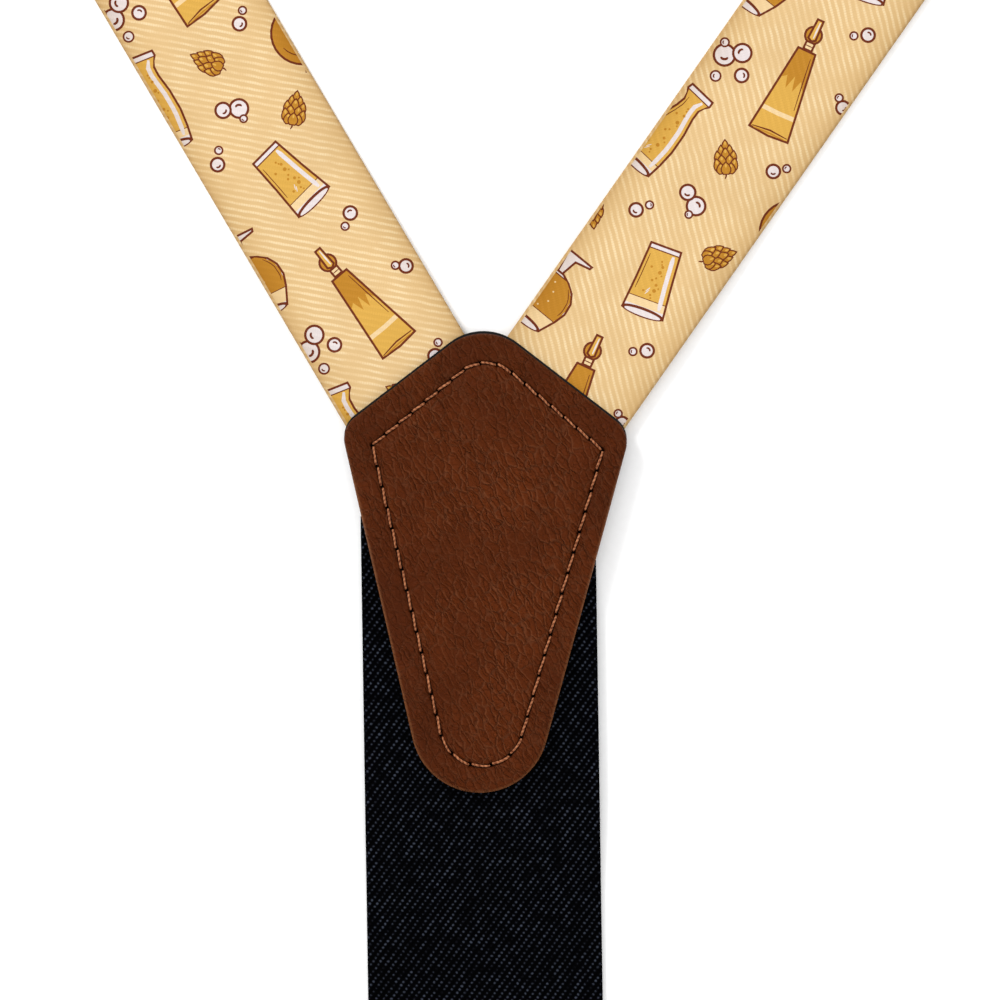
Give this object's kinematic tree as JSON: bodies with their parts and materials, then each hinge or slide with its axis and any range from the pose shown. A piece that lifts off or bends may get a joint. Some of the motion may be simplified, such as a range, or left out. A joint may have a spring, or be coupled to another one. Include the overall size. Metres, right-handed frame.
{
  "type": "suspenders",
  "caption": "Y-back suspenders: printed webbing front straps, elastic back strap, stitched leather yoke, lever adjusters and hinged trouser clips.",
  "frame": {"origin": "on the surface they lie on, under the middle of the leather yoke", "axes": "+Y from the back clip towards the shoulders, +X to the right with the back facing up, +Z away from the surface"},
  "size_m": [0.3733, 0.5163, 0.0252],
  "materials": {
    "printed_webbing": "twill webbing printed with small motifs",
    "elastic_webbing": "woven black elastic",
    "yoke_leather": "smooth, fine grain",
    "yoke_underlay": "matt black edge",
    "yoke_backing": "matt",
    "thread": "waxed polyester thread",
    "dark_thread": "polyester thread",
    "nickel": "polished nickel plate",
    "grip_plastic": "moulded, toothed"
  },
  "bodies": {
    "yoke": {"yoke_leather": "yoke_leather", "yoke_underlay": "yoke_underlay", "yoke_backing": "yoke_backing", "yoke_stitching": "thread", "front_strap_left": "printed_webbing", "front_strap_right": "printed_webbing", "back_strap": "elastic_webbing"},
    "left_end": {"strap_loop_left": "printed_webbing", "strap_tail_left": "printed_webbing"},
    "left_adjuster": {"adjuster_frame_left": "nickel", "adjuster_pin_left": "nickel"},
    "left_adjuster_cover": {"adjuster_lever_left": "nickel"},
    "right_end": {"strap_loop_right": "printed_webbing", "strap_tail_right": "printed_webbing"},
    "right_adjuster": {"adjuster_frame_right": "nickel", "adjuster_pin_right": "nickel"},
    "right_adjuster_cover": {"adjuster_lever_right": "nickel"},
    "back_end": {"back_strap_loop": "elastic_webbing", "back_bartack": "dark_thread"},
    "left_clip": {"clip_base_left": "nickel", "clip_rivets_left": "nickel", "clip_jaw_pin_left": "nickel", "clip_lower_pad_left": "grip_plastic"},
    "left_clip_lever": {"clip_lever_left": "nickel"},
    "left_clip_jaw": {"clip_jaw_left": "nickel", "clip_upper_pad_left": "grip_plastic"},
    "right_clip": {"clip_base_right": "nickel", "clip_rivets_right": "nickel", "clip_jaw_pin_right": "nickel", "clip_lower_pad_right": "grip_plastic"},
    "right_clip_lever": {"clip_lever_right": "nickel"},
    "right_clip_jaw": {"clip_jaw_right": "nickel", "clip_upper_pad_right": "grip_plastic"},
    "back_clip": {"clip_base_back": "nickel", "clip_rivets_back": "nickel", "clip_jaw_pin_back": "nickel", "clip_lower_pad_back": "grip_plastic"},
    "back_clip_lever": {"clip_lever_back": "nickel"},
    "back_clip_jaw": {"clip_jaw_back": "nickel", "clip_upper_pad_back": "grip_plastic"}
  },
  "joints": [
    {"name": "left_length_slide", "type": "slide", "parent": "yoke", "child": "left_end", "axis": [-0.1045, 0.9945, 0], "range_m": [-0.03, 0.05], "deforming": ["front_strap_left"]},
    {"name": "left_adjuster_travel", "type": "slide", "parent": "left_end", "child": "left_adjuster", "axis": [-0.1045, 0.9945, 0], "range_m": [-0.03, 0.05], "deforming": ["strap_tail_left"]},
    {"name": "left_adjuster_cover_hinge", "type": "hinge", "parent": "left_adjuster", "child": "left_adjuster_cover", "pos_m": [-0.14174, -0.1778, 0.0067], "axis": [-0.9945, -0.1045, 0], "range_deg": [0, 75]},
    {"name": "right_length_slide", "type": "slide", "parent": "yoke", "child": "right_end", "axis": [0.1045, 0.9945, 0], "range_m": [-0.03, 0.05], "deforming": ["front_strap_right"]},
    {"name": "right_adjuster_travel", "type": "slide", "parent": "right_end", "child": "right_adjuster", "axis": [0.1045, 0.9945, 0], "range_m": [-0.03, 0.05], "deforming": ["strap_tail_right"]},
    {"name": "right_adjuster_cover_hinge", "type": "hinge", "parent": "right_adjuster", "child": "right_adjuster_cover", "pos_m": [0.14965, -0.18837, 0.0067], "axis": [-0.9945, 0.1045, 0], "range_deg": [0, 75]},
    {"name": "back_stretch", "type": "slide", "parent": "yoke", "child": "back_end", "axis": [0.0157, -0.9999, 0], "range_m": [0, 0.08], "stiffness_N_per_m": 125, "deforming": ["back_strap"]},
    {"name": "left_clip_swing", "type": "hinge", "parent": "left_end", "child": "left_clip", "pos_m": [-0.12977, -0.29167, 0.0024], "axis": [-0.9945, -0.1045, 0], "range_deg": [0, 60]},
    {"name": "left_clip_lever_hinge", "type": "hinge", "parent": "left_clip", "child": "left_clip_lever", "pos_m": [-0.12799, -0.30858, 0.0066], "axis": [-0.9945, -0.1045, 0], "range_deg": [0, 95]},
    {"name": "left_clip_jaw_hinge", "type": "hinge", "parent": "left_clip", "child": "left_clip_jaw", "pos_m": [-0.12904, -0.29863, 0.0027], "axis": [-0.9945, -0.1045, 0], "range_deg": [0, 7]},
    {"name": "right_clip_swing", "type": "hinge", "parent": "right_end", "child": "right_clip", "pos_m": [0.13768, -0.30224, 0.0024], "axis": [-0.9945, 0.1045, 0], "range_deg": [0, 60]},
    {"name": "right_clip_lever_hinge", "type": "hinge", "parent": "right_clip", "child": "right_clip_lever", "pos_m": [0.1359, -0.31915, 0.0066], "axis": [-0.9945, 0.1045, 0], "range_deg": [0, 95]},
    {"name": "right_clip_jaw_hinge", "type": "hinge", "parent": "right_clip", "child": "right_clip_jaw", "pos_m": [0.13695, -0.3092, 0.0027], "axis": [-0.9945, 0.1045, 0], "range_deg": [0, 7]},
    {"name": "back_clip_swing", "type": "hinge", "parent": "back_end", "child": "back_clip", "pos_m": [0.00338, -0.28497, 0.0024], "axis": [-0.9999, -0.0157, 0], "range_deg": [0, 60]},
    {"name": "back_clip_lever_hinge", "type": "hinge", "parent": "back_clip", "child": "back_clip_lever", "pos_m": [0.00364, -0.30196, 0.0066], "axis": [-0.9999, -0.0157, 0], "range_deg": [0, 95]},
    {"name": "back_clip_jaw_hinge", "type": "hinge", "parent": "back_clip", "child": "back_clip_jaw", "pos_m": [0.00349, -0.29196, 0.0027], "axis": [-0.9999, -0.0157, 0], "range_deg": [0, 7]}
  ],
  "couplings": [
    {"joint": "left_adjuster_travel", "follows": "left_length_slide", "ratio": 1},
    {"joint": "right_adjuster_travel", "follows": "right_length_slide", "ratio": 1},
    {"joint": "left_clip_jaw_hinge", "follows": "left_clip_lever_hinge", "ratio": 0.07},
    {"joint": "right_clip_jaw_hinge", "follows": "right_clip_lever_hinge", "ratio": 0.07},
    {"joint": "back_clip_jaw_hinge", "follows": "back_clip_lever_hinge", "ratio": 0.07}
  ]
}
